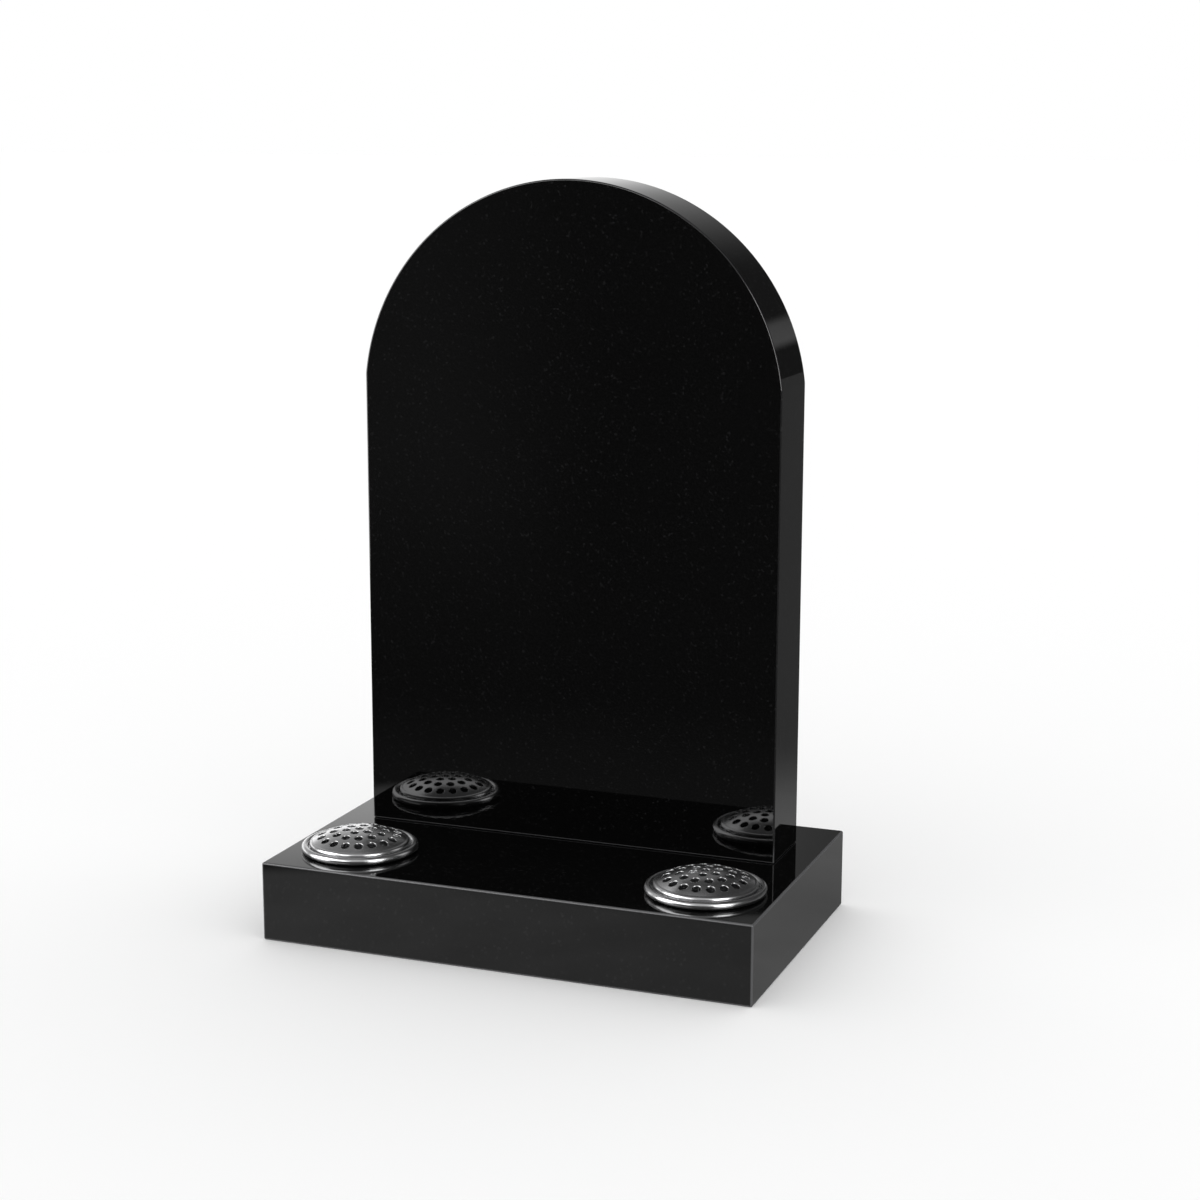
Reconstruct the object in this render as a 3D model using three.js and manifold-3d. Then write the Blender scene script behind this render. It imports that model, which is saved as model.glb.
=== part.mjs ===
// A polished black granite headstone on its base, with two spun metal flower containers.
//
// Frame: millimetres, +Z up. The origin is the middle of the base's underside, at ground level.
// +X is to the right of someone who faces the memorial, and its front looks along -Y.

import * as THREE from 'three';
import { mergeVertices } from 'three/addons/utils/BufferGeometryUtils.js';
import Module from 'manifold-3d';

// Driving dimensions: the base
const baseWidth = 610;
const baseDepth = 376;
const baseHeight = 96;
const baseArris = 2.5;

// Driving dimensions: the tablet
const tabletWidth = 527;
const tabletThickness = 95;
const tabletSideHeight = 562;
const tabletTopRise = 235;
const tabletArris = 1.8;
const tabletFrontSetback = 215;

// Driving dimensions: the flower containers
const containerEndDistance = 85;
const containerFrontDistance = 90;
const potRadius = 55;
const potDepth = 84;
const potWall = 1.5;
const potFloorRound = 6;
const flangeRadius = 70.5;
const flangeRollRadius = 4.6;
const flangeLipAngle = -110;

// Driving dimensions: the pierced lids
const lidWall = 1.2;
const lidRollRadius = 3.8;
const lidDomeRise = 13;
const lidDomeFullness = 2.5;
const lidHoleRadius = 5.2;
const lidRingPitch = 15.3;
const lidRingHoles = [6, 12, 18];
const lidFirstRingTurn = 35;
const lidRingTurnBack = 10;

// Clearances between pieces
const restGap = 0.3;
const drillClearance = 2.5;
const lidClearance = 0.8;

// Fineness of the curved faces
const tabletArcSteps = 40;
const arrisSteps = 2;
const lidSides = 28;
const potSides = 32;
const drillSides = 32;
const holeSides = 8;
const rollSteps = 5;
const lidEdgeSteps = 3;
const domeSteps = 4;
const floorRoundSteps = 2;
const weldTolerance = 1e-4;

const wasm = await Module();
wasm.setup();

const granite = { color: 0x08090a, roughness: 0.08, metalness: 0 };
const spunMetal = { color: 0xc8c8ca, roughness: 0.22, metalness: 1 };

// Points of an arc in (radius, height) about a centre. Angles are in degrees from straight outwards.
function arc(centre, radius, fromDegrees, toDegrees, steps) {
  const points = [];
  for (let i = 0; i <= steps; i += 1) {
    const angle = THREE.MathUtils.degToRad(fromDegrees + ((toDegrees - fromDegrees) * i) / steps);
    points.push(new THREE.Vector2(
      centre[0] + radius * Math.cos(angle),
      centre[1] + radius * Math.sin(angle),
    ));
  }
  return points;
}

// Keeps only the positions and joins the shared vertices, so that the faces form one closed surface.
function weld(geometry) {
  const bare = geometry.clone();
  bare.deleteAttribute('normal');
  bare.deleteAttribute('uv');
  return mergeVertices(bare, weldTolerance);
}

function toSolid(geometry) {
  const welded = weld(geometry);
  return new wasm.Manifold(new wasm.Mesh({
    numProp: 3,
    vertProperties: new Float32Array(welded.attributes.position.array),
    triVerts: new Uint32Array(welded.index.array),
  }));
}

function toGeometry(solid) {
  const mesh = solid.getMesh();
  const geometry = new THREE.BufferGeometry();
  geometry.setAttribute('position', new THREE.BufferAttribute(mesh.vertProperties, 3));
  geometry.setIndex(new THREE.BufferAttribute(mesh.triVerts, 1));
  geometry.computeVertexNormals();
  return geometry;
}

// Turns a closed (radius, height) profile about the vertical axis.
function turn(profile, sides) {
  const geometry = new THREE.LatheGeometry(profile, sides);
  geometry.rotateX(Math.PI / 2);
  return geometry;
}

function makePiece(name, geometry, look, x, y, z) {
  const mesh = new THREE.Mesh(weld(geometry), new THREE.MeshStandardMaterial(look));
  mesh.name = name;
  mesh.position.set(x, y, z);
  return mesh;
}

// Where the containers stand, and the radius of the holes drilled for them
const containerX = baseWidth / 2 - containerEndDistance;
const containerY = -baseDepth / 2 + containerFrontDistance;
const containers = [
  { side: 'left', x: -containerX },
  { side: 'right', x: containerX },
];
const drillRadius = potRadius + drillClearance;

// The base: its plan, less the drilled holes, raised to its height with an arris all round.
function makeBase() {
  const plan = new THREE.Shape();
  plan.moveTo(-baseWidth / 2, -baseDepth / 2);
  plan.lineTo(baseWidth / 2, -baseDepth / 2);
  plan.lineTo(baseWidth / 2, baseDepth / 2);
  plan.lineTo(-baseWidth / 2, baseDepth / 2);
  plan.closePath();
  for (const { x } of containers) {
    const hole = new THREE.Path();
    for (let i = 0; i < drillSides; i += 1) {
      const angle = (-2 * Math.PI * i) / drillSides;
      const px = x + drillRadius * Math.cos(angle);
      const py = containerY + drillRadius * Math.sin(angle);
      if (i === 0) hole.moveTo(px, py);
      else hole.lineTo(px, py);
    }
    hole.closePath();
    plan.holes.push(hole);
  }
  const geometry = new THREE.ExtrudeGeometry(plan, {
    depth: baseHeight - 2 * baseArris,
    bevelEnabled: true,
    bevelThickness: baseArris,
    bevelSize: baseArris,
    bevelOffset: -baseArris,
    bevelSegments: arrisSteps,
    curveSegments: 1,
  });
  geometry.translate(0, 0, baseArris);
  return geometry;
}

// The tablet: straight sides, and a top that is a part of a circle, a little flatter than a half.
function makeTablet() {
  const half = tabletWidth / 2;
  const topRadius = (half * half + tabletTopRise * tabletTopRise) / (2 * tabletTopRise);
  const topCentre = tabletSideHeight + tabletTopRise - topRadius;
  const startAngle = Math.atan2(tabletSideHeight - topCentre, half);
  const front = new THREE.Shape();
  front.moveTo(-half, 0);
  front.lineTo(half, 0);
  for (let i = 0; i <= tabletArcSteps; i += 1) {
    const angle = startAngle + ((Math.PI - 2 * startAngle) * i) / tabletArcSteps;
    front.lineTo(topRadius * Math.cos(angle), topCentre + topRadius * Math.sin(angle));
  }
  front.closePath();
  const geometry = new THREE.ExtrudeGeometry(front, {
    depth: tabletThickness - 2 * tabletArris,
    bevelEnabled: true,
    bevelThickness: tabletArris,
    bevelSize: tabletArris,
    bevelOffset: -tabletArris,
    bevelSegments: arrisSteps,
    curveSegments: 1,
  });
  geometry.translate(0, 0, tabletArris);
  geometry.rotateX(Math.PI / 2);
  geometry.translate(0, tabletThickness, 0);
  return geometry;
}

// Heights above the top of the base that the pot and its lid share
const rollCentreHeight = restGap + flangeRollRadius;
const ledgeHeight = restGap + flangeRollRadius;
const rollCentreRadius = flangeRadius - flangeRollRadius;
const recessRadius = rollCentreRadius - flangeRollRadius;

// A pot: one sheet that runs from the floor up the wall, out over a flat ledge, and over the roll,
// whose lower lip stays open. The lip's angle is measured from straight outwards.
// Height 0 is the top of the base.
function makePot() {
  const innerRadius = potRadius - potWall;
  const floorTop = -potDepth + potWall;
  const rollInner = flangeRollRadius - potWall;
  const floorCentre = [potRadius - potFloorRound, -potDepth + potFloorRound];
  const rollCentre = [rollCentreRadius, rollCentreHeight];
  const profile = [
    new THREE.Vector2(0, -potDepth),
    ...arc(floorCentre, potFloorRound, -90, 0, floorRoundSteps),
    new THREE.Vector2(potRadius, ledgeHeight - potWall),
    new THREE.Vector2(recessRadius + potWall, ledgeHeight - potWall),
    ...arc(rollCentre, rollInner, 180, flangeLipAngle, rollSteps),
    ...arc(rollCentre, flangeRollRadius, flangeLipAngle, 180, rollSteps + 1),
    new THREE.Vector2(innerRadius, ledgeHeight),
    ...arc(floorCentre, potFloorRound - potWall, 0, -90, floorRoundSteps),
    new THREE.Vector2(0, floorTop),
  ];
  return turn(profile, potSides);
}

// A pierced lid: a rolled edge that sits in the recess of the flange, and a full, low dome.
// Height 0 is the top of the base.
const lidEdgeRadius = recessRadius - lidClearance;
const lidRollCentreRadius = lidEdgeRadius - lidRollRadius;
const lidFoot = ledgeHeight + restGap;
const lidRollHeight = lidFoot + lidRollRadius;
const domeRadius = lidRollCentreRadius;
const domeFoot = lidRollHeight + lidRollRadius;

function domeHeightAt(radius) {
  return domeFoot + lidDomeRise * (1 - (radius / domeRadius) ** lidDomeFullness);
}

// Points of the dome from its middle to its foot, closer together where it curves most.
function domePoints(drop) {
  const points = [];
  for (let i = 0; i <= domeSteps; i += 1) {
    const radius = domeRadius * Math.sqrt(i / domeSteps);
    points.push(new THREE.Vector2(radius, domeHeightAt(radius) - drop));
  }
  return points;
}

// Centres of the holes: one in the middle, and rings about it, each turned back a little from the last.
function holeCentres() {
  const centres = [[0, 0]];
  lidRingHoles.forEach((count, ring) => {
    const radius = (ring + 1) * lidRingPitch;
    const turn = THREE.MathUtils.degToRad(lidFirstRingTurn - ring * lidRingTurnBack);
    for (let i = 0; i < count; i += 1) {
      const angle = turn + (2 * Math.PI * i) / count;
      centres.push([radius * Math.cos(angle), radius * Math.sin(angle)]);
    }
  });
  return centres;
}

function makeLid() {
  const rollCentre = [lidRollCentreRadius, lidRollHeight];
  const inside = domePoints(lidWall);
  const outside = domePoints(0).reverse();
  const profile = [
    ...inside,
    ...arc(rollCentre, lidRollRadius - lidWall, 90, 0, lidEdgeSteps).slice(1),
    new THREE.Vector2(lidEdgeRadius - lidWall, lidFoot),
    new THREE.Vector2(lidEdgeRadius, lidFoot),
    ...arc(rollCentre, lidRollRadius, 0, 90, lidEdgeSteps),
    ...outside.slice(1),
  ];
  let solid = toSolid(turn(profile, lidSides));
  const drillLength = 2 * (lidDomeRise + lidWall);
  for (const [x, y] of holeCentres()) {
    const drill = new THREE.CylinderGeometry(lidHoleRadius, lidHoleRadius, drillLength, holeSides);
    drill.rotateX(Math.PI / 2);
    drill.translate(x, y, domeFoot + lidDomeRise / 2);
    solid = solid.subtract(toSolid(drill));
  }
  return toGeometry(solid);
}

const memorial = new THREE.Group();
memorial.name = 'memorial';
memorial.add(makePiece('base', makeBase(), granite, 0, 0, 0));

const tabletY = -baseDepth / 2 + tabletFrontSetback;
memorial.add(makePiece('headstone', makeTablet(), granite, 0, tabletY, baseHeight + restGap));

for (const { side, x } of containers) {
  const pot = makePiece(`flower_container_${side}`, makePot(), spunMetal, x, containerY, baseHeight);
  const lid = makePiece(`container_lid_${side}`, makeLid(), spunMetal, x, containerY, baseHeight);
  memorial.add(pot, lid);
}

export default memorial;
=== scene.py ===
"""Looks of a polished black granite headstone with two spun metal flower containers, in metres."""

import math

import bpy
import numpy as np
from mathutils import Matrix, Vector


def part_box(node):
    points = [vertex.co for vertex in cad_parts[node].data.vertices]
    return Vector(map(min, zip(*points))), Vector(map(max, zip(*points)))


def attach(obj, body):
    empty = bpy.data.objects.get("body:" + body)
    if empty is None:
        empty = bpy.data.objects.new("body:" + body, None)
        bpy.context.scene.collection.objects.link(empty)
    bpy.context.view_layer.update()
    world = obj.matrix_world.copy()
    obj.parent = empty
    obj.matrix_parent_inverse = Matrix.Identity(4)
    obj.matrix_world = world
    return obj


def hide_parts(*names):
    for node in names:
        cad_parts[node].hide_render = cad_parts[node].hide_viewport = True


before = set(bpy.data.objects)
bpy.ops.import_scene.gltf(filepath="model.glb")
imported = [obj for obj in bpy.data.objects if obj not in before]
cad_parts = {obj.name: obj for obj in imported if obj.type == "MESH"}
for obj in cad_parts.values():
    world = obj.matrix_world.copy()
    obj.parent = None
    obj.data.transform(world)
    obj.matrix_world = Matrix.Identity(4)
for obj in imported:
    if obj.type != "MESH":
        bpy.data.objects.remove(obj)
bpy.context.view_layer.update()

MM = 0.001
WELD_DIGITS = 7

# Places read from the frame
base_low, base_high = (np.array(corner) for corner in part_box("base"))
tablet_low, tablet_high = (np.array(corner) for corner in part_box("headstone"))
pot_low, pot_high = (np.array(corner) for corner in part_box("flower_container_right"))
BASE_TOP = base_high[2]
CONTAINER_X = (pot_low[0] + pot_high[0]) / 2
CONTAINER_Y = (pot_low[1] + pot_high[1]) / 2
CENTRES = {"left": np.array([-CONTAINER_X, CONTAINER_Y]), "right": np.array([CONTAINER_X, CONTAINER_Y])}

# Granite
BASE_ARRIS = 2.5 * MM
TABLET_ARRIS = 1.8 * MM
TABLET_SIDE_HEIGHT = 562 * MM
DRILL_RADIUS = 57.5 * MM

# How strongly the tablet's arrises take the arris marks, where those of the base count as 1
# The marks give a rougher polish and a lighter colour; the lighter colour is a painted highlight
TABLET_ARRIS_SHEEN_AND_WEAR = 0.12
# The foot takes more of them, a lighter, rougher line where the tablet meets the base
TABLET_FOOT_MARK_WEIGHT = 0.8

# Steps and rows of the granite's grids
ARRIS_STEPS = 8
CORNER_STEPS = 8
SIDE_STEPS = 24
ARCH_STEPS = 160
BASE_FACE_ROWS = 5
TABLET_FACE_ROWS = 8

# Flower containers, as radii and as heights above the top of the base
REST_GAP = 0.3 * MM
POT_RADIUS = 55 * MM
POT_WALL = 1.5 * MM
POT_DEPTH = BASE_TOP - pot_low[2]
POT_FLOOR_ROUND = 6 * MM
FLANGE_RADIUS = 70.5 * MM
FLANGE_ROLL = 4.6 * MM
FLANGE_LIP_ANGLE = -110
LEDGE = REST_GAP + FLANGE_ROLL
RECESS_RADIUS = FLANGE_RADIUS - 2 * FLANGE_ROLL

# Pierced lids
LID_WALL = 1.2 * MM
LID_ROLL = 3.8 * MM
LID_CLEARANCE = 0.8 * MM
LID_EDGE_RADIUS = RECESS_RADIUS - LID_CLEARANCE
LID_FOOT = LEDGE + REST_GAP
DOME_RADIUS = LID_EDGE_RADIUS - LID_ROLL
DOME_FOOT = LID_FOOT + 2 * LID_ROLL
DOME_RISE = 13 * MM
DOME_FULLNESS = 2.5
HOLE_RADIUS = 5.2 * MM
LIP_ROUND = 0.5 * MM
LIP_DEPTH = 1.4 * MM
LIP_WALL = 0.8 * MM
RING_PITCH = 15.3 * MM
RING_HOLES = (6, 12, 18)
FIRST_RING_TURN = 35
RING_TURN_BACK = 10

# Steps and rows of the metal's grids, and the angle from which an edge between two faces is sharp
TURN_STEPS = 216
ROLL_STEPS = 24
FLOOR_ROUND_STEPS = 8
LIP_STEPS = 6
CELL_ROWS = 4
CELL_SIDE_STEPS = 8
SKIRT_ROWS = 4
SHARP_ANGLE = 35

# Looks of the granite: cells or waves to a metre, shades with 1 for white, and coolness as blue
# over red. A cell whose number is above the limit is a fleck.
GRAIN_SCALE = 900.0
FLECK_SCALE = 420.0
CLOUD_SCALE = 14.0
FLECK_LIMIT = 0.94
STONE_SHADE = 0.0004
GRAIN_SHADE = 0.0008
CLOUD_SHADE = 0.0004
FLECK_SHADE = 0.007
# The arrises' shade is a painted highlight, not the stone's own colour
ARRIS_HIGHLIGHT_SHADE = 0.085
STONE_ROUGHNESS = 0.02
CLOUD_ROUGHNESS = 0.015
FLECK_ROUGHNESS = 0.02
ARRIS_ROUGHNESS = 0.2
STONE_COOLNESS = 1.03
STONE_IOR = 1.55

# Looks of the metal: waves to a metre, shades, and how much a turning line changes on its way round
LINE_SCALE = 2600.0
BAND_SCALE = 420.0
SMEAR_SCALE = 60.0
LINE_STRAY = 0.02
METAL_SHADE = 0.52
BAND_SHADE = 0.1
SMEAR_SHADE = 0.06
METAL_ROUGHNESS = 0.17
BAND_ROUGHNESS = 0.06
SMEAR_ROUGHNESS = 0.06
METAL_COOLNESS = 1.01
RELIEF_STRENGTH = 0.12
RELIEF_DEPTH = 0.2 * MM

# The camera, fitted to the photograph's edges, in pixels, degrees and metres
FOCAL_PIXELS = 2343.14
PICTURE_PIXELS = 1200
SENSOR_WIDTH = 36
FARTHEST_SEEN = 100
AZIMUTH = 20.92
ELEVATION = 11.56
ROLL = 0.12
DISTANCE = 2.765
AIM = Vector((0.0525, 0, 0.405))

# The stage, in metres, and shades of its floor and card, with 1 for white
FLOOR_HALF_SIDE = 60
FLOOR_SHADE = 0.93
MIRRORED_FLOOR_HEIGHT = -1 * MM
NEAR_LEFT_SHADE = 0.47
NEAR_RIGHT_SHADE = 0.27
NEAR_BACK_SHADE = 0.16
BESIDE_LOSS = 0.4
FAR_FRONT_SHADE = 0.05
FAR_BACK_SHADE = 0.1
HALO_SHADE = 0.035
FAR_LEFT_SHADE = 0.05
BACK_GLOW_SHADE = 0.3
MOTTLE_SCALE = 9.0
MOTTLE_LEAST = 0.75
MOTTLE_RANGE = 0.5
CARD_CENTRE = (-0.1, 1.5, 0.58)
CARD_HALF_WIDTH = 0.26
CARD_HALF_HEIGHT = 0.2
CARD_LEFT_SHADE = 0.2
CARD_RIGHT_SHADE = 0.08

# Softboxes: the place, the point that it faces, the width and height, and the shade
SOFTBOXES = {
    "softbox_left": ((-1.8, -1.1, 1.45), (0, -0.1, 1.45), (1.6, 2.8), 4.0),
    "softbox_front": ((-0.8, -2.0, 1.6), (-0.1, -0.1, 1.6), (1.2, 1.3), 3.0),
    "softbox_right": ((1.95, -1.45, 1.25), (0, -0.1, 0.65), (1.2, 1.7), 6.0),
}

# Shades of the surroundings: on matt surfaces, to the camera, and in reflections
MATT_LIGHT = 1.08
BACKDROP_SHADE = 1.0
STUDIO_SHADE = 0.03
STUDIO_LEFT_SHADE = 0.95
STUDIO_FAR_LEFT_SHADE = 0.6
STUDIO_FRONT_SHADE = 0.5
STRIP_SHADE = 0.2
STRIP_HEIGHT = 0.12


def unit(vectors):
    """The vectors at a length of 1."""
    return vectors / np.maximum(np.linalg.norm(vectors, axis=-1, keepdims=True), 1e-12)


def grid_normals(points):
    """Normals of a grid of points: the cross product of its steps along rows and along columns."""
    return unit(np.cross(np.gradient(points, axis=0), np.gradient(points, axis=1)))


def welded(points, normals, marks, quads):
    """Joins vertices that share a place, averages their normals, and drops faces with no area."""
    places = np.round(points, WELD_DIGITS)
    _, first, where = np.unique(places, axis=0, return_index=True, return_inverse=True)
    where = where.reshape(-1)
    sums = np.zeros((len(first), 3))
    np.add.at(sums, where, normals)
    quads = where[quads]
    same = quads == np.roll(quads, -1, axis=1)
    whole = quads[~same.any(axis=1)]
    pinched = quads[same.sum(axis=1) == 1]
    triangles = pinched[pinched != np.roll(pinched, -1, axis=1)].reshape(-1, 3)
    return points[first], unit(sums), marks[first], whole.tolist() + triangles.tolist()


class Patches:
    """Collects grids of points into one mesh. Each grid comes with its outward normals, which also
    settle which way its faces point, and with marks, from 0 on a polished face to 1 on an arris,
    where the granite has a rougher polish and a painted highlight."""

    def __init__(self):
        self.points, self.normals, self.marks, self.quads = [], [], [], []
        self.count = 0

    def add(self, points, normals, marks=0.0):
        """Adds one grid, with its faces turned to the side that its normals point to."""
        normals = np.broadcast_to(normals, points.shape)
        rows, columns = points.shape[:2]
        index = np.arange(rows * columns).reshape(rows, columns) + self.count
        corners = (index[:-1, :-1], index[1:, :-1], index[1:, 1:], index[:-1, 1:])
        quads = np.stack(corners, axis=-1).reshape(-1, 4)
        if (grid_normals(points) * normals).sum() < 0:
            quads = quads[:, ::-1]
        self.quads.append(quads)
        self.points.append(points.reshape(-1, 3))
        self.normals.append(normals.reshape(-1, 3))
        self.marks.append(np.broadcast_to(marks, (rows, columns)).reshape(-1))
        self.count += rows * columns

    def make_piece(self, name, material, node, exact_normals):
        """Makes the piece, which stands for a CAD node and rides on the only body. Its shading uses
        the grids' normals where they are exact, and otherwise the faces', sharp past an angle."""
        grids = (self.points, self.normals, self.marks, self.quads)
        points, normals, marks, faces = welded(*(np.concatenate(grid) for grid in grids))
        mesh = bpy.data.meshes.new(name)
        mesh.from_pydata(points, [], faces)
        arris = mesh.attributes.new("arris", "FLOAT", "POINT")
        arris.data.foreach_set("value", marks.astype(np.float32))
        mesh.materials.append(material)
        mesh.shade_smooth()
        if exact_normals:
            mesh.normals_split_custom_set_from_vertices(normals)
        else:
            mesh.set_sharp_from_angle(angle=math.radians(SHARP_ANGLE))
        piece = bpy.data.objects.new(name, mesh)
        bpy.context.scene.collection.objects.link(piece)
        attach(piece, "root")
        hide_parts(node)


def lay_flat(plan, height):
    """Points of a plan, all at one height."""
    return np.concatenate([plan, np.full(plan.shape[:-1] + (1,), height)], axis=-1)


def stand_up(points):
    """Turns points of (across, up, away) into (across, away, up)."""
    return points[..., [0, 2, 1]]


def arris_mark(share):
    """Goes up from 0 to 1, stays there, and goes down again as the share goes from 0 to 1."""
    return np.minimum(2 * np.sin(np.pi * share), 1)


def closed_outline(runs):
    """Joins runs of (points, directions) into one closed outline. Between two runs the point stays,
    and its direction turns from the one run's last to the other's first in even steps. The marks
    are 1 in the middle of a right-angled turn and 0 along the runs."""
    points, directions, marks = [], [], []
    for (run, facing), (_, next_facing) in zip(runs, runs[1:] + runs[:1]):
        points.append(run)
        directions.append(facing)
        marks.append(np.zeros(len(run)))
        start = math.atan2(facing[-1][1], facing[-1][0])
        turn = (math.atan2(next_facing[0][1], next_facing[0][0]) - start) % (2 * math.pi)
        share = np.linspace(0, 1, CORNER_STEPS + 1)
        angle = start + turn * share
        points.append(np.repeat(run[-1:], len(angle), axis=0))
        directions.append(np.stack([np.cos(angle), np.sin(angle)], axis=1))
        marks.append(arris_mark(share) * turn / (math.pi / 2))
    return [np.concatenate(parts + [parts[0][:1]]) for parts in (points, directions, marks)]


def straight_run(start, stop, direction, steps):
    """Evenly spaced points from start to stop, which all face in one direction."""
    share = np.linspace(0, 1, steps + 1)[:, None]
    run = np.array(start) + share * (np.array(stop) - np.array(start))
    return run, np.broadcast_to(np.array(direction, float), run.shape)


def rounded_band(core, directions, corners, arris, low, high):
    """A wall with round edges. Each point is a point of the core outline, pushed along its direction
    by the arris times cos(a), at the core's upper or lower height plus the arris times sin(a),
    while a goes from 90 degrees to 0 at the upper edge and from 0 to -90 at the lower one. The wall
    takes the larger of the corners' marks and the marks along its two edges."""
    fall = np.radians(np.linspace(90, 0, ARRIS_STEPS + 1))
    angle = np.concatenate([fall, -fall[::-1]])
    middle = np.concatenate([np.full(len(fall), high - arris), np.full(len(fall), low + arris)])
    sideways = np.cos(angle)[:, None, None] * directions
    upward = np.broadcast_to(np.sin(angle)[:, None, None], sideways.shape[:2] + (1,))
    normals = np.concatenate([sideways, upward], axis=2)
    centres = np.broadcast_to(core, sideways.shape)
    heights = np.broadcast_to(middle[:, None, None], upward.shape)
    points = np.concatenate([centres, heights], axis=2) + arris * normals
    return points, normals, np.maximum(arris_mark(np.abs(angle)[:, None] / (math.pi / 2)), corners)


def square_loop(low, high, steps):
    """Points round a rectangle, anticlockwise from its lower left corner, in steps to each side."""
    share = np.linspace(0, 1, steps + 1)[:, None]
    corners = np.array([low, (high[0], low[1]), high, (low[0], high[1]), low])
    return np.concatenate([a + share * (b - a) for a, b in zip(corners[:-1], corners[1:])])


def hole_to_loop(centre, radius, loop, rows):
    """A plan whose rows go from a circle about a centre out to a loop round it, in straight lines."""
    rim = centre + radius * unit(loop - centre)
    share = np.linspace(0, 1, rows + 1)[:, None, None]
    return rim + share * (loop - rim)


def make_base(material):
    """The base: a block with round arrises, drilled right through for the two containers."""
    patches = Patches()
    low, high = base_low[:2] + BASE_ARRIS, base_high[:2] - BASE_ARRIS
    rim_radius = DRILL_RADIUS + BASE_ARRIS
    for side, (left, right) in {"left": (low[0], 0.0), "right": (0.0, high[0])}.items():
        loop = square_loop(np.array([left, low[1]]), np.array([right, high[1]]), SIDE_STEPS)
        plan = hole_to_loop(CENTRES[side], rim_radius, loop, BASE_FACE_ROWS)
        patches.add(lay_flat(plan, base_high[2]), (0, 0, 1))
        patches.add(lay_flat(plan, base_low[2]), (0, 0, -1))
        inward = unit(CENTRES[side] - plan[0])
        patches.add(*rounded_band(plan[0], inward, 0, BASE_ARRIS, base_low[2], base_high[2]))
    core, directions, corners = closed_outline([
        straight_run((low[0], low[1]), (high[0], low[1]), (0, -1), 2 * SIDE_STEPS),
        straight_run((high[0], low[1]), (high[0], high[1]), (1, 0), SIDE_STEPS),
        straight_run((high[0], high[1]), (low[0], high[1]), (0, 1), 2 * SIDE_STEPS),
        straight_run((low[0], high[1]), (low[0], low[1]), (-1, 0), SIDE_STEPS),
    ])
    patches.add(*rounded_band(core, directions, corners, BASE_ARRIS, base_low[2], base_high[2]))
    patches.make_piece("granite_base", material, "base", exact_normals=True)


def make_tablet(material):
    """The tablet: straight sides and a top that is part of a circle, a little flatter than a half,
    with the radius (half width^2 + rise^2) / (2 rise). Its outline lies in the front view, and the
    band with round arrises runs from front to back."""
    half = (tablet_high[0] - tablet_low[0]) / 2
    foot, top = tablet_low[2], tablet_high[2]
    rise = top - foot - TABLET_SIDE_HEIGHT
    radius = (half**2 + rise**2) / (2 * rise)
    centre = top - radius
    inner_half, inner_radius = half - TABLET_ARRIS, radius - TABLET_ARRIS
    start = math.acos(inner_half / inner_radius)
    angle = np.linspace(start, math.pi - start, ARCH_STEPS + 1)
    facing = np.stack([np.cos(angle), np.sin(angle)], axis=1)
    arch = inner_radius * facing + (0, centre)
    low = foot + TABLET_ARRIS
    core, directions, corners = closed_outline([
        straight_run((-inner_half, low), (inner_half, low), (0, -1), SIDE_STEPS),
        straight_run((inner_half, low), tuple(arch[0]), (1, 0), SIDE_STEPS),
        (arch, facing),
        straight_run(tuple(arch[-1]), (-inner_half, low), (-1, 0), SIDE_STEPS),
    ])
    patches = Patches()
    points, normals, marks = rounded_band(core, directions, corners, TABLET_ARRIS,
                                          tablet_low[1], tablet_high[1])
    # Each arris point takes its weight of the marks, the foot more than the rest
    mark_weight = np.where(np.isclose(core[:, 1], low), TABLET_FOOT_MARK_WEIGHT, TABLET_ARRIS_SHEEN_AND_WEAR)
    patches.add(stand_up(points), stand_up(normals), mark_weight * marks)
    share = np.linspace(0, 1, TABLET_FACE_ROWS + 1)[:, None, None]
    face = core + share * (np.array([0, centre]) - core)
    patches.add(stand_up(lay_flat(face, tablet_low[1])), (0, -1, 0))
    patches.add(stand_up(lay_flat(face, tablet_high[1])), (0, 1, 0))
    patches.make_piece("granite_tablet", material, "headstone", exact_normals=True)


def arc(centre, radius, start, stop, steps):
    """Points of an arc in (radius, height). Angles are in degrees from straight outwards."""
    angle = np.radians(np.linspace(start, stop, steps + 1))
    return np.stack([centre[0] + radius * np.cos(angle), centre[1] + radius * np.sin(angle)], axis=1)


def turned(profile, centre, outward):
    """Turns a (radius, height) profile about a container's axis. Its normals are the profile's
    tangent turned by a quarter; outward is 1 where the metal lies to the left of its path."""
    angle = 2 * np.pi * np.arange(TURN_STEPS + 1) / TURN_STEPS
    radius, height = profile[:, :1], profile[:, 1:]
    round_x, round_y = np.cos(angle), np.sin(angle)
    even = np.ones_like(angle)
    points = np.stack([centre[0] + radius * round_x, centre[1] + radius * round_y,
                       (BASE_TOP + height) * even], axis=-1)
    tangent = unit(np.gradient(profile, axis=0)) * outward
    normals = np.stack([tangent[:, 1:] * round_x, tangent[:, 1:] * round_y,
                        -tangent[:, :1] * even], axis=-1)
    return points, normals


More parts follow.
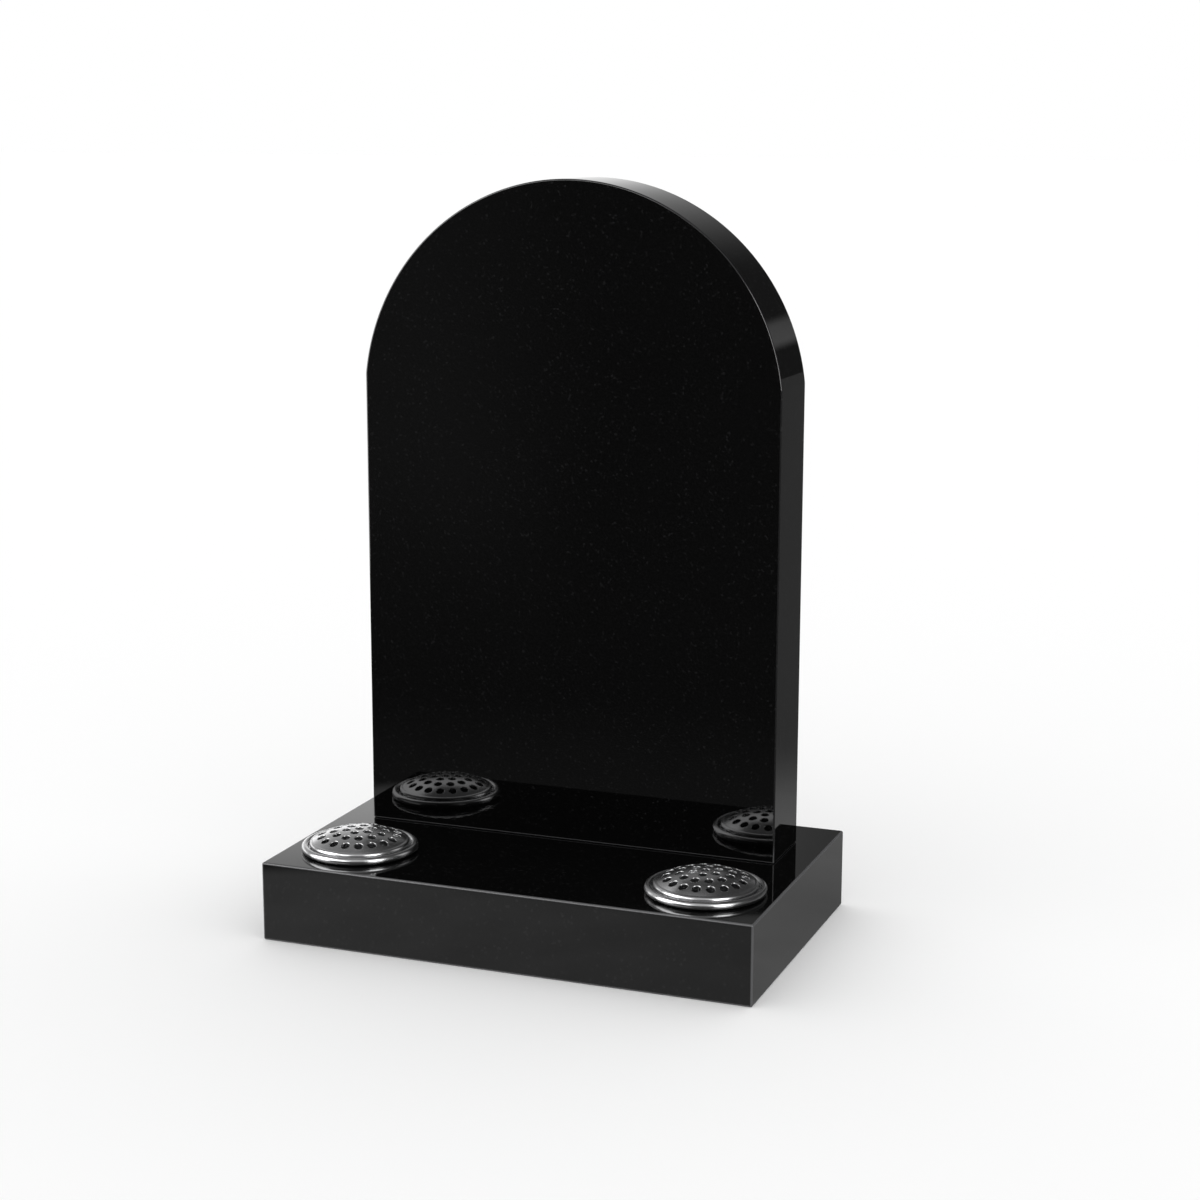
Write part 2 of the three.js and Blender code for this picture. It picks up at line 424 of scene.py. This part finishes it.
def make_pot(side, material):
    """A pot: one sheet from the floor up the wall, out over a flat ledge and over the rolled flange,
    whose lower lip stays open, and back along its inner face."""
    floor_centre = (POT_RADIUS - POT_FLOOR_ROUND, -POT_DEPTH + POT_FLOOR_ROUND)
    roll_centre = (FLANGE_RADIUS - FLANGE_ROLL, LEDGE)
    profile = np.concatenate([
        [(0, -POT_DEPTH)],
        arc(floor_centre, POT_FLOOR_ROUND, -90, 0, FLOOR_ROUND_STEPS),
        [(POT_RADIUS, LEDGE - POT_WALL), (RECESS_RADIUS + POT_WALL, LEDGE - POT_WALL)],
        arc(roll_centre, FLANGE_ROLL - POT_WALL, 180, FLANGE_LIP_ANGLE, ROLL_STEPS)[1:],
        arc(roll_centre, FLANGE_ROLL, FLANGE_LIP_ANGLE, 180, ROLL_STEPS),
        [(POT_RADIUS - POT_WALL, LEDGE)],
        arc(floor_centre, POT_FLOOR_ROUND - POT_WALL, 0, -90, FLOOR_ROUND_STEPS),
        [(0, -POT_DEPTH + POT_WALL)],
    ])
    patches = Patches()
    patches.add(*turned(profile, CENTRES[side], outward=1))
    node = f"flower_container_{side}"
    patches.make_piece(f"spun_pot_{side}", material, node, exact_normals=False)


def dome_height(radius):
    """The dome's outside: its foot plus its rise times 1 - (radius / dome radius) ^ fullness."""
    return DOME_FOOT + DOME_RISE * (1 - (radius / DOME_RADIUS) ** DOME_FULLNESS)


def cell_loop(inner, outer, start, stop):
    """The edge of one hole's share of the dome: an outer arc, and where there is an inner one, two
    sides and that arc. Angles count in whole steps of the turn, so that neighbours share points."""
    step = 2 * np.pi / TURN_STEPS
    ahead = np.arange(start, stop + 1) * step
    outer_arc = outer * np.stack([np.cos(ahead), np.sin(ahead)], axis=1)
    if inner == 0:
        return outer_arc
    inner_arc = inner * np.stack([np.cos(ahead), np.sin(ahead)], axis=1)[::-1]
    share = np.linspace(0, 1, CELL_SIDE_STEPS + 1)[:, None]
    down = outer_arc[-1] + share * (inner_arc[0] - outer_arc[-1])
    up = inner_arc[-1] + share * (outer_arc[0] - inner_arc[-1])
    return np.concatenate([outer_arc, down[1:], inner_arc[1:], up[1:]])


def lid_cell(loop, hole):
    """One hole with the sheet round it, as rows that go from the loop in over the outside, down the
    hole's rounded lip, up behind it and out again along the underside. A point's height is the
    dome's height at its radius, less the row's drop."""
    rounding = np.radians(np.linspace(0, 90, LIP_STEPS + 1))
    lip_radius = HOLE_RADIUS + LIP_ROUND * (1 - np.sin(rounding))
    lip_drop = LIP_ROUND * (1 - np.cos(rounding))
    collar_radius = np.concatenate([lip_radius, [HOLE_RADIUS, HOLE_RADIUS + LIP_WALL]])
    collar_drop = np.concatenate([lip_drop, [LIP_DEPTH, LIP_DEPTH]])
    collar = hole + unit(loop - hole) * collar_radius[:, None, None]
    share = np.linspace(1, 0, CELL_ROWS + 1)[:, None, None]
    outside = collar[0] + share[:-1] * (loop - collar[0])
    underside = collar[-1] + share[::-1] * (loop - collar[-1])
    plan = np.concatenate([outside, collar, underside])
    drop = np.concatenate([np.zeros(len(outside)), collar_drop, np.full(len(underside), LID_WALL)])
    height = dome_height(np.linalg.norm(plan, axis=2)) - drop[:, None]
    return np.concatenate([plan, height[..., None]], axis=2)


def make_lid(side, material):
    """A pierced lid: a dome made of one cell to each hole, a plain skirt and a rolled edge."""
    patches = Patches()
    place = np.array([*CENTRES[side], BASE_TOP])
    cells = [(cell_loop(0, RING_PITCH / 2, 0, TURN_STEPS), np.zeros(2))]
    for ring, count in enumerate(RING_HOLES):
        radius = (ring + 1) * RING_PITCH
        width = TURN_STEPS // count
        ring_start = round((FIRST_RING_TURN - ring * RING_TURN_BACK) * TURN_STEPS / 360)
        for i in range(count):
            middle = width * i + ring_start
            angle = 2 * np.pi * middle / TURN_STEPS
            loop = cell_loop(radius - RING_PITCH / 2, radius + RING_PITCH / 2,
                             middle - width // 2, middle + width // 2)
            cells.append((loop, radius * np.array([math.cos(angle), math.sin(angle)])))
    for loop, hole in cells:
        points = place + lid_cell(loop, hole)
        normals = grid_normals(points)
        patches.add(points, normals * np.sign(normals[0, :, 2].sum()))
    sheet_radius = (len(RING_HOLES) + 0.5) * RING_PITCH
    skirt = np.linspace(sheet_radius, DOME_RADIUS, SKIRT_ROWS + 1)[:, None]
    outside = np.concatenate([skirt, dome_height(skirt)], axis=1)
    roll_centre = (DOME_RADIUS, LID_FOOT + LID_ROLL)
    profile = np.concatenate([
        outside,
        arc(roll_centre, LID_ROLL, 90, -90, ROLL_STEPS)[1:],
        arc(roll_centre, LID_ROLL - LID_WALL, -90, 90, ROLL_STEPS),
        (outside - (0, LID_WALL))[::-1][1:],
    ])
    patches.add(*turned(profile, CENTRES[side], outward=-1))
    node = f"container_lid_{side}"
    patches.make_piece(f"pierced_lid_{side}", material, node, exact_normals=False)


class Value:
    """A shader socket that takes part in sums and products as a number does."""

    def __init__(self, sheet, socket):
        self.sheet, self.socket = sheet, socket

    def math(self, operation, first, second=0.0):
        """The result of a math node."""
        return self.sheet.node("ShaderNodeMath", {"operation": operation}, {0: first, 1: second})

    def __add__(self, other):
        return self.math("ADD", self, other)

    def __sub__(self, other):
        return self.math("SUBTRACT", self, other)

    def __rsub__(self, other):
        return self.math("SUBTRACT", other, self)

    def __mul__(self, other):
        return self.math("MULTIPLY", self, other)

    def __truediv__(self, other):
        return self.math("DIVIDE", self, other)

    def __pow__(self, other):
        return self.math("POWER", self, other)

    def __abs__(self):
        return self.math("ABSOLUTE", self)

    def at_least(self, least):
        """The value, or the least where the value is lower."""
        return self.math("MAXIMUM", self, least)

    __radd__ = __add__
    __rmul__ = __mul__


class Sheet:
    """The node tree of one material, or of the world."""

    def __init__(self, owner):
        owner.use_nodes = True
        self.tree = owner.node_tree
        self.tree.nodes.clear()

    def node(self, kind, settings=None, inputs=None, output=0):
        """Adds a node with its settings and inputs, and gives one of its outputs as a value."""
        node = self.tree.nodes.new(kind)
        for name, value in (settings or {}).items():
            setattr(node, name, value)
        for name, value in (inputs or {}).items():
            if isinstance(value, Value):
                self.tree.links.new(value.socket, node.inputs[name])
            else:
                node.inputs[name].default_value = value
        return Value(self, node.outputs[output]) if len(node.outputs) else node

    def place(self):
        """Object coordinates, split into x, y and z."""
        point = self.node("ShaderNodeTexCoord", output="Object")
        split = [self.node("ShaderNodeSeparateXYZ", inputs={0: point}, output=i) for i in range(3)]
        return point, *split

    def noise(self, point, scale, detail):
        """Soft noise from 0 to 1."""
        places = {"Vector": point, "Scale": scale, "Detail": detail}
        return self.node("ShaderNodeTexNoise", {}, places, output=0)

    def cells(self, point, scale, channel):
        """A number from 0 to 1 that is even within a small cell and differs from cell to cell."""
        colour = self.node("ShaderNodeTexVoronoi", {}, {"Vector": point, "Scale": scale}, output="Color")
        return self.node("ShaderNodeSeparateColor", {}, {0: colour}, output=channel)

    def grey(self, shade, blue=1.0):
        """A neutral colour, or with blue above 1 a slightly cool one."""
        return self.node("ShaderNodeCombineColor", {}, {0: shade, 1: shade, 2: shade * blue})

    def smooth(self, value, start, stop, first=0.0, last=1.0):
        """Goes smoothly from first to last while value goes from start to stop."""
        settings = {"interpolation_type": "SMOOTHSTEP"}
        places = {"Value": value, "From Min": start, "From Max": stop, "To Min": first, "To Max": last}
        return self.node("ShaderNodeMapRange", settings, places)


def polished_granite():
    """Fine-grained black granite with a mirror polish: dark grains of slightly different depth, a few
    lighter mineral flecks, and a softer polish and a painted highlight on the narrow arrises."""
    material = bpy.data.materials.new("polished_granite")
    sheet = Sheet(material)
    point, _, _, _ = sheet.place()
    grain = sheet.cells(point, GRAIN_SCALE, channel=0)
    bright = sheet.smooth(sheet.cells(point, FLECK_SCALE, channel=1), FLECK_LIMIT, 1.0)
    cloud = sheet.noise(point, CLOUD_SCALE, detail=3.0)
    arris = sheet.node("ShaderNodeAttribute", {"attribute_name": "arris"}, output="Fac")
    # The arrises are lighter in colour: a painted highlight
    shade = (STONE_SHADE + GRAIN_SHADE * grain + CLOUD_SHADE * cloud
             + FLECK_SHADE * bright + ARRIS_HIGHLIGHT_SHADE * arris)
    roughness = (STONE_ROUGHNESS + CLOUD_ROUGHNESS * cloud
                 + FLECK_ROUGHNESS * bright + ARRIS_ROUGHNESS * arris)
    shader = sheet.node("ShaderNodeBsdfPrincipled", {}, {
        "Base Color": sheet.grey(shade, blue=STONE_COOLNESS),
        "Roughness": roughness,
        "IOR": STONE_IOR,
    })
    sheet.node("ShaderNodeOutputMaterial", {}, {"Surface": shader})
    return material


def spun_metal():
    """Spun and buffed metal: fine turning lines about each container's axis, and faint smears."""
    material = bpy.data.materials.new("spun_metal")
    sheet = Sheet(material)
    point, x, y, z = sheet.place()
    across = abs(x) - CONTAINER_X
    away = y - CONTAINER_Y
    radius = (across * across + away * away) ** 0.5
    track = sheet.node("ShaderNodeCombineXYZ", {}, {0: radius, 1: z, 2: across * LINE_STRAY})
    lines = sheet.noise(track, LINE_SCALE, detail=2.0)
    bands = sheet.noise(track, BAND_SCALE, detail=3.0)
    smears = sheet.noise(point, SMEAR_SCALE, detail=4.0)
    shade = METAL_SHADE + BAND_SHADE * bands + SMEAR_SHADE * smears
    roughness = METAL_ROUGHNESS + SMEAR_ROUGHNESS * smears + BAND_ROUGHNESS * bands
    relief = sheet.node("ShaderNodeBump", {}, {
        "Height": lines + bands,
        "Strength": RELIEF_STRENGTH,
        "Distance": RELIEF_DEPTH,
    })
    shader = sheet.node("ShaderNodeBsdfPrincipled", {}, {
        "Base Color": sheet.grey(shade, blue=METAL_COOLNESS),
        "Roughness": roughness,
        "Metallic": 1.0,
        "Normal": relief,
    })
    sheet.node("ShaderNodeOutputMaterial", {}, {"Surface": shader})
    return material


def make_camera():
    """The camera looks at AIM from DISTANCE, from AZIMUTH to the right and ELEVATION above."""
    data = bpy.data.cameras.new("camera")
    data.sensor_fit = "HORIZONTAL"
    data.sensor_width = SENSOR_WIDTH
    data.lens = SENSOR_WIDTH * FOCAL_PIXELS / PICTURE_PIXELS
    data.clip_end = FARTHEST_SEEN
    turn = Matrix.Rotation(math.radians(AZIMUTH), 4, "Z")
    tilt = Matrix.Rotation(math.radians(90 - ELEVATION), 4, "X")
    roll = Matrix.Rotation(math.radians(ROLL), 4, "Z")
    camera = bpy.data.objects.new("camera", data)
    back = Matrix.Translation((0, 0, DISTANCE))
    camera.matrix_world = Matrix.Translation(AIM) @ turn @ tilt @ roll @ back
    bpy.context.scene.collection.objects.link(camera)
    bpy.context.scene.camera = camera


def make_plane(name, centre, across, up, material):
    """A stage plane: its centre and two half-sides."""
    centre, across, up = Vector(centre), Vector(across), Vector(up)
    mesh = bpy.data.meshes.new(name)
    corners = [centre - across - up, centre + across - up, centre + across + up, centre - across + up]
    mesh.from_pydata(corners, [], [(0, 1, 2, 3)])
    mesh.materials.append(material)
    plane = bpy.data.objects.new(name, mesh)
    bpy.context.scene.collection.objects.link(plane)
    return plane


def only_in_reflections(thing):
    """Hides a stage plane from all rays but those that a polished face sends out."""
    thing.visible_camera = False
    thing.visible_diffuse = False
    thing.visible_shadow = False
    thing.visible_transmission = False


def glowing(name, shade_of):
    """A material that gives off white light, as bright as the shade that shade_of works out."""
    material = bpy.data.materials.new(name)
    sheet = Sheet(material)
    shade = shade_of(sheet)
    glow = sheet.node("ShaderNodeEmission", {}, {"Color": sheet.grey(shade), "Strength": 1.0})
    sheet.node("ShaderNodeOutputMaterial", {}, {"Surface": glow})
    return material


def floor_shade(sheet):
    """The floor as polished faces see it: bright close to the memorial's front, dimmer beside and
    behind it, and dark farther off, with soft mottling. Paler patches lie far off to the front's
    left and behind the memorial's left half. Lengths are in metres: away is the distance from the
    base's foot, and aside is how far to the right a place lies for each metre in front."""
    point, x, y, _ = sheet.place()
    past_side = (abs(x) - base_high[0]).at_least(0.0)
    past_front = (abs(y) - base_high[1]).at_least(0.0)
    away = (past_side * past_side + past_front * past_front) ** 0.5
    aside = x / abs(y).at_least(1 * MM) * sheet.smooth(y, 0.0, -0.5)

    to_right = sheet.smooth(x, -0.6, 0.6, NEAR_LEFT_SHADE, NEAR_RIGHT_SHADE)
    front = sheet.smooth(away, 0.24, 0.3, 1.0, 0.0) * to_right
    back = NEAR_BACK_SHADE * sheet.smooth(away, 0.3, 0.75, 1.0, 0.0)
    behind = sheet.smooth(y, -0.1, 0.45)
    beside = sheet.smooth(y, -0.19, -0.15) * sheet.smooth(away, 0.2, 0.0)
    near = (front + behind * (back - front)) * (1.0 - BESIDE_LOSS * beside)
    mottle = MOTTLE_LEAST + MOTTLE_RANGE * sheet.noise(point, MOTTLE_SCALE, detail=4.0)

    halo = HALO_SHADE * sheet.smooth(away, 0.9, 0.3)
    far = sheet.smooth(y, 0.0, 0.6, FAR_FRONT_SHADE, FAR_BACK_SHADE) + halo
    far_left = FAR_LEFT_SHADE * sheet.smooth(aside, -0.36, -0.52) * sheet.smooth(away, 0.5, 4.0)
    left_half = sheet.smooth(x, 0.35, 0.0)
    back_glow = left_half * sheet.smooth(y, 0.15, 0.3) * sheet.smooth(away, 2.5, 0.1)
    return near * mottle + far + far_left + BACK_GLOW_SHADE * back_glow


def card_shade(sheet):
    """The card as polished faces see it, dimmer to the right."""
    _, x, _, _ = sheet.place()
    return sheet.smooth(x, -0.4, 0.2, CARD_LEFT_SHADE, CARD_RIGHT_SHADE)


def make_stage():
    """A plain pale floor, which polished faces don't see. In its place they see a floor that is lit
    near the memorial and falls off to dark, and a dim card behind the memorial."""
    material = bpy.data.materials.new("pale_floor")
    sheet = Sheet(material)
    shader = sheet.node("ShaderNodeBsdfPrincipled", {}, {
        "Base Color": (FLOOR_SHADE, FLOOR_SHADE, FLOOR_SHADE, 1),
        "Roughness": 1.0,
        "Specular IOR Level": 0.0,
    })
    sheet.node("ShaderNodeOutputMaterial", {}, {"Surface": shader})
    across, along = (FLOOR_HALF_SIDE, 0, 0), (0, FLOOR_HALF_SIDE, 0)
    floor = make_plane("floor", (0, 0, 0), across, along, material)
    floor.visible_glossy = False

    lit = glowing("lit_floor", floor_shade)
    place = (0, 0, MIRRORED_FLOOR_HEIGHT)
    only_in_reflections(make_plane("floor_in_reflections", place, across, along, lit))

    dim = glowing("dim_card", card_shade)
    across, up = (CARD_HALF_WIDTH, 0, 0), (0, 0, CARD_HALF_HEIGHT)
    only_in_reflections(make_plane("card_in_reflections", CARD_CENTRE, across, up, dim))


def make_softbox(name, place, toward, size, shade):
    """A rectangular light that faces a point and shows in polished faces alone, at a given shade."""
    data = bpy.data.lights.new(name, "AREA")
    data.shape = "RECTANGLE"
    data.size, data.size_y = size
    data.energy = shade * math.pi * size[0] * size[1]
    light = bpy.data.objects.new(name, data)
    facing = (Vector(place) - Vector(toward)).to_track_quat("Z", "Y").to_matrix().to_4x4()
    light.matrix_world = Matrix.Translation(place) @ facing
    light.visible_camera = False
    light.visible_diffuse = False
    bpy.context.scene.collection.objects.link(light)


def make_world():
    """The surroundings: white to the camera, soft white light on matt surfaces, and a dim studio in
    reflections, paler behind the memorial's left side, in a low strip behind its right side, and
    high up in front. The direction has a length of 1, and sideways is its x over its depth."""
    world = bpy.data.worlds.new("studio")
    bpy.context.scene.world = world
    sheet = Sheet(world)
    direction = sheet.node("ShaderNodeTexCoord", output="Generated")
    x, y, z = (sheet.node("ShaderNodeSeparateXYZ", inputs={0: direction}, output=i) for i in range(3))
    sideways = x / abs(y).at_least(0.05)
    behind = sheet.smooth(y, -0.1, 0.3, 0.02, 1.0)
    to_left = sheet.smooth(sideways, -0.45, 0.16, STUDIO_LEFT_SHADE, 0.0)
    low = sheet.smooth(z, 0.1, 0.32, 1.0, 0.5) * sheet.smooth(z, 0.35, 0.8, 1.0, 0.4)
    far_left = sheet.smooth(sideways, -0.38, -0.5) * sheet.smooth(z, 0.325, 0.28)
    off_strip = abs(z - STRIP_HEIGHT)
    strip = sheet.smooth(off_strip, 0.02, 0.05, STRIP_SHADE, 0.0) * sheet.smooth(sideways, 0.2, 0.3)
    in_front = sheet.smooth(y, 0.1, -0.2) * sheet.smooth(z, 0.25, 0.5)
    seen = (STUDIO_SHADE + to_left * behind * low + STUDIO_FAR_LEFT_SHADE * far_left * behind
            + strip * behind + STUDIO_FRONT_SHADE * in_front)
    is_glossy = sheet.node("ShaderNodeLightPath", output="Is Glossy Ray")
    is_camera = sheet.node("ShaderNodeLightPath", output="Is Camera Ray")
    plain = MATT_LIGHT + (BACKDROP_SHADE - MATT_LIGHT) * is_camera
    shade = plain + is_glossy * (seen - plain)
    light = sheet.node("ShaderNodeBackground", {}, {"Color": sheet.grey(shade), "Strength": 1.0})
    sheet.node("ShaderNodeOutputWorld", {}, {"Surface": light})


bpy.context.scene.view_settings.view_transform = "Standard"
make_camera()
make_world()
make_stage()
for name, (place, toward, size, shade) in SOFTBOXES.items():
    make_softbox(name, place, toward, size, shade)

granite = polished_granite()
metal = spun_metal()
make_base(granite)
make_tablet(granite)
for side in CENTRES:
    make_pot(side, metal)
    make_lid(side, metal)
